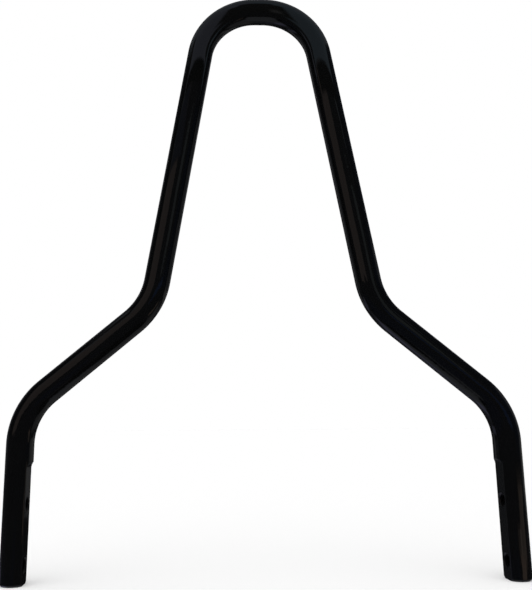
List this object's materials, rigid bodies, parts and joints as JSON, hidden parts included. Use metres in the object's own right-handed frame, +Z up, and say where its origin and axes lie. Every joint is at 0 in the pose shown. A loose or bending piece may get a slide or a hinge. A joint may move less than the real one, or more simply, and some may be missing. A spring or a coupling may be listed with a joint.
{
  "type": "sissy bar",
  "caption": "Gloss black sissy bar bent from solid round steel bar: rounded crown, leaning uprights, flared shoulders, and feet with milled flats and blind tapped holes on the inside.",
  "frame": {"origin": "midway between the cut ends of the two feet, on the plane of the bar's axis", "axes": "+Z up from the feet to the crown, +X across the motorcycle to the right as seen from -Y, +Y fore and aft"},
  "size_m": [0.3008, 0.0158, 0.3634],
  "materials": {
    "black_coat": "gloss black coat over steel, smooth, with soft reflections",
    "tapped_steel": "bare machined steel inside the tapped holes, dark with oil"
  },
  "bodies": {
    "root": {"bar": "black_coat"}
  },
  "joints": []
}
